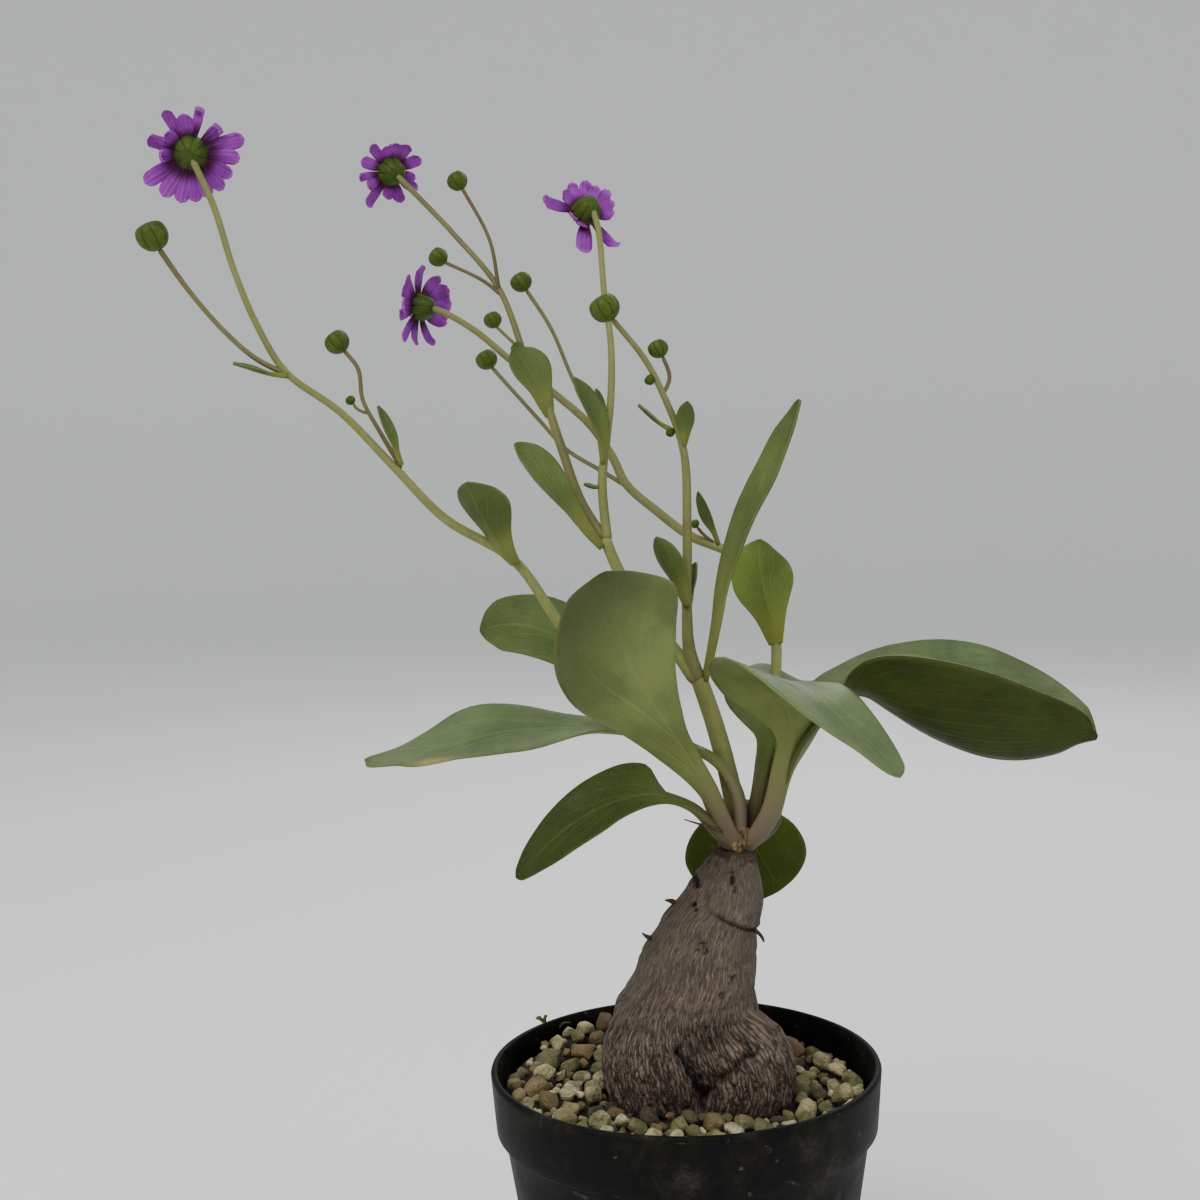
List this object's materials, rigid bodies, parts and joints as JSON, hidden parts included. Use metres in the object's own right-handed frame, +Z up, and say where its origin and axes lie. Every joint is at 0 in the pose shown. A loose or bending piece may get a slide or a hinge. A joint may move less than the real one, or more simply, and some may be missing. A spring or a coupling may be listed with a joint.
{
  "type": "potted othonna rosea",
  "caption": "Potted succulent with a swollen bark-clad caudex, fleshy blue-green leaves and branching stems of purple daisy blooms in a black slit nursery pot.",
  "frame": {"origin": "centre of the flat underside of the pot", "axes": "+Z up along the pot's axis, -Y towards the front that the picture shows, +X to the viewer's right"},
  "size_m": [0.2408, 0.1367, 0.3492],
  "materials": {
    "pot_plastic": "satin",
    "gravel": "matte",
    "bark": "matte",
    "crown_wool": "matte",
    "stem": "satin",
    "leaf": "satin",
    "petal": "matte"
  },
  "bodies": {
    "root": {"pot": "pot_plastic", "soil_gravel": "gravel", "caudex": "bark", "crown": "crown_wool", "stem_centre": "stem", "stem_left": "stem", "stem_right": "stem", "leaf_centre": "leaf", "leaf_left_long": "leaf", "leaf_left_low": "leaf", "leaf_left_back": "leaf", "leaf_right_front": "leaf", "leaf_right_large": "leaf", "leaf_right_back": "leaf", "leaf_low_back": "leaf", "bloom_left": "petal", "bloom_back": "petal", "bloom_top": "petal", "bloom_low": "petal"}
  },
  "joints": []
}
